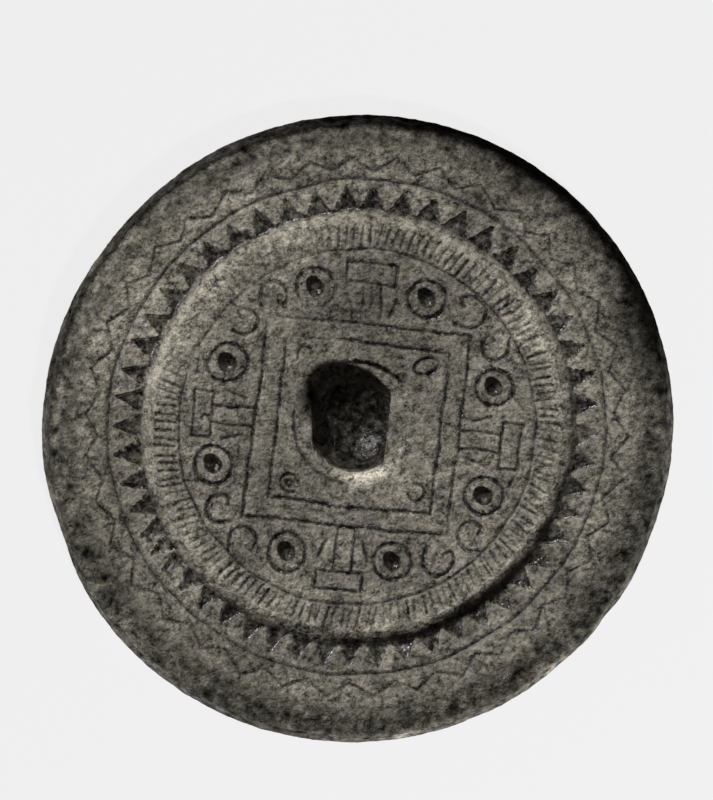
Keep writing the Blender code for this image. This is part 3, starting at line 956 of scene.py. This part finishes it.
# Bronze
# Tin bronze, cast and long buried: a dark, smooth patina that shines a little where
# it was rubbed, and a lighter, dull and grainy crust on the ground between.
FLECKS_PER_MM = 0.7
GRAINS_PER_MM = 0.9
GRAIN_DEPTH = 0.62 * MM
CRUST_COLOUR = "6f6b61"
PATINA_COLOUR = "1f1d1a"


def linear(code):
    """An sRGB hex colour as a linear colour."""
    parts = [int(code[i:i + 2], 16) / 255 for i in (0, 2, 4)]
    return [c / 12.92 if c <= 0.04045 else ((c + 0.055) / 1.055) ** 2.4 for c in parts] + [1.0]


def new_material(name):
    material = bpy.data.materials.new(name)
    material.use_nodes = True
    return material, material.node_tree.nodes["Principled BSDF"]


def node(material, kind, settings=(), links=()):
    """Adds a node with its settings and links its inputs."""
    made = material.node_tree.nodes.new(kind)
    for name, value in dict(settings).items():
        if isinstance(name, str) and hasattr(made, name):
            setattr(made, name, value)
        else:
            made.inputs[name].default_value = value
    for name, socket in dict(links).items():
        material.node_tree.links.new(socket, made.inputs[name])
    return made


def ranged(material, value, low, high, start, end):
    """A value between low and high, spread from start to end."""
    settings = {"From Min": low, "From Max": high, "To Min": start, "To Max": end}
    return node(material, "ShaderNodeMapRange", settings, {"Value": value}).outputs["Result"]


def noisy(material, place, scale, detail, roughness):
    """Noise of the given scale."""
    settings = {"Scale": scale, "Detail": detail, "Roughness": roughness}
    return node(material, "ShaderNodeTexNoise", settings, {"Vector": place}).outputs["Fac"]


def multiplied(material, colour, by):
    """A colour made lighter or darker by a value."""
    settings = {"data_type": "RGBA", "blend_type": "MULTIPLY", 0: 1.0}
    return node(material, "ShaderNodeMix", settings, {6: colour, 7: by}).outputs[2]


def bronze():
    material, shader = new_material("patinated tin bronze")
    place = node(material, "ShaderNodeTexCoord").outputs["Object"]
    tone = node(material, "ShaderNodeAttribute", {"attribute_name": "tone"}).outputs["Fac"]
    rubbed = node(material, "ShaderNodeAttribute", {"attribute_name": "rubbed"}).outputs["Fac"]

    # Crust in flecks of a millimetre and a half and finer
    flecks = noisy(material, place, FLECKS_PER_MM / MM, 4.0, 0.9)
    crust = ranged(material, flecks, 0.36, 0.64, 0.1, 1.9)
    # The rubbed metal keeps specks of the crust in its pores
    bare = ranged(material, flecks, 0.4, 0.6, 1.1, 0.75)
    product = {"operation": "MULTIPLY", "use_clamp": True}
    share = node(material, "ShaderNodeMath", product, {0: rubbed, 1: bare}).outputs[0]
    colours = {"data_type": "RGBA", 6: linear(CRUST_COLOUR), 7: linear(PATINA_COLOUR)}
    plain = node(material, "ShaderNodeMix", colours, {0: share}).outputs[2]
    flecked = multiplied(material, plain, crust)
    # The tone carries the patina's patches together with painted shade and painted light
    toned = multiplied(material, flecked, tone)

    # Where the tone is dark, dark patina and painted shade alike, the sheen is weaker
    sheen = ranged(material, tone, 0.08, 0.45, 0.0, 0.24)
    gloss = ranged(material, rubbed, 0.0, 1.0, 0.92, 0.26)

    # Rubbed metal is smoother than the crust
    grain = noisy(material, place, GRAINS_PER_MM / MM, 3.0, 0.65)
    strength = ranged(material, rubbed, 0.0, 1.0, 1.0, 0.35)
    height = {"Height": grain, "Strength": strength}
    bump = node(material, "ShaderNodeBump", {"Distance": GRAIN_DEPTH}, height).outputs["Normal"]

    surface = {"Base Color": toned, "Specular IOR Level": sheen, "Roughness": gloss, "Normal": bump}
    for name, socket in surface.items():
        material.node_tree.links.new(socket, shader.inputs[name])
    return material


mirror.data.materials.append(bronze())
mirror.data.shade_smooth()
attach(mirror, "root")
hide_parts("bronze_mirror")


# Floor, light and camera
# A pale table top lit evenly, one crisp studio lamp at the lower right of the
# picture and a weak low one at its left. The camera looks down, a little from the
# upper left.
CARD_COLOUR = "262626"
CARD_GLOW = 0.83
CARD_HALF = 3.0
bm = bmesh.new()
bmesh.ops.create_grid(bm, x_segments=1, y_segments=1, size=CARD_HALF)
floor = solid("floor", bm)
card, card_shader = new_material("pale card")
card_shader.inputs["Base Color"].default_value = linear(CARD_COLOUR)
card_shader.inputs["Roughness"].default_value = 0.9
card_shader.inputs["Emission Color"].default_value = (1, 1, 1, 1)
card_shader.inputs["Emission Strength"].default_value = CARD_GLOW
floor.data.materials.append(card)


def area_light(name, bearing, elevation, distance, size, power):
    lamp = bpy.data.lights.new(name, "AREA")
    lamp.shape = "DISK"
    lamp.size = size
    lamp.energy = power
    obj = bpy.data.objects.new(name, lamp)
    flat = polar(math.cos(math.radians(elevation)), bearing).to_3d()
    flat.z = math.sin(math.radians(elevation))
    obj.location = flat * distance
    obj.rotation_euler = flat.to_track_quat("Z", "Y").to_euler()
    bpy.context.scene.collection.objects.link(obj)


area_light("key", bearing=-50, elevation=43, distance=0.6, size=0.06, power=4.7)
area_light("fill", bearing=190, elevation=20, distance=0.8, size=0.5, power=0.6)
world = bpy.data.worlds.new("dim room")
world.use_nodes = True
world.node_tree.nodes["Background"].inputs["Color"].default_value = (1, 1, 1, 1)
world.node_tree.nodes["Background"].inputs["Strength"].default_value = 0.02
bpy.context.scene.world = world
bpy.context.scene.view_settings.view_transform = "Standard"

# The camera's lean and the way it leans, its roll, and the place it looks at, which
# is given in widths of a dot of the picture
TILT = 7.5
TILT_BEARING = 126.0
ROLL = 6.0
LENS = 200.0
PIXEL = 0.1588 * MM
AIM_UP = 29.1
AIM_LEFT = 1.6
DISTANCE = 703.0 * MM

centre = -polar(EDGE_OFFSET, EDGE_OFFSET_BEARING).to_3d()
centre.z = RIM_HEIGHT
towards = polar(math.sin(math.radians(TILT)), TILT_BEARING).to_3d()
towards.z = math.cos(math.radians(TILT))
right = polar(1.0, ROLL).to_3d()
right -= towards * right.dot(towards)
right.normalize()
above = towards.cross(right)
lens = bpy.data.cameras.new("camera")
lens.lens = LENS
lens.sensor_width = 36
lens.clip_start = 0.01
camera = bpy.data.objects.new("camera", lens)
camera.matrix_world = Matrix((right, above, towards)).transposed().to_4x4()
camera.location = centre + (above * AIM_UP - right * AIM_LEFT) * PIXEL + towards * DISTANCE
bpy.context.scene.collection.objects.link(camera)
bpy.context.scene.camera = camera
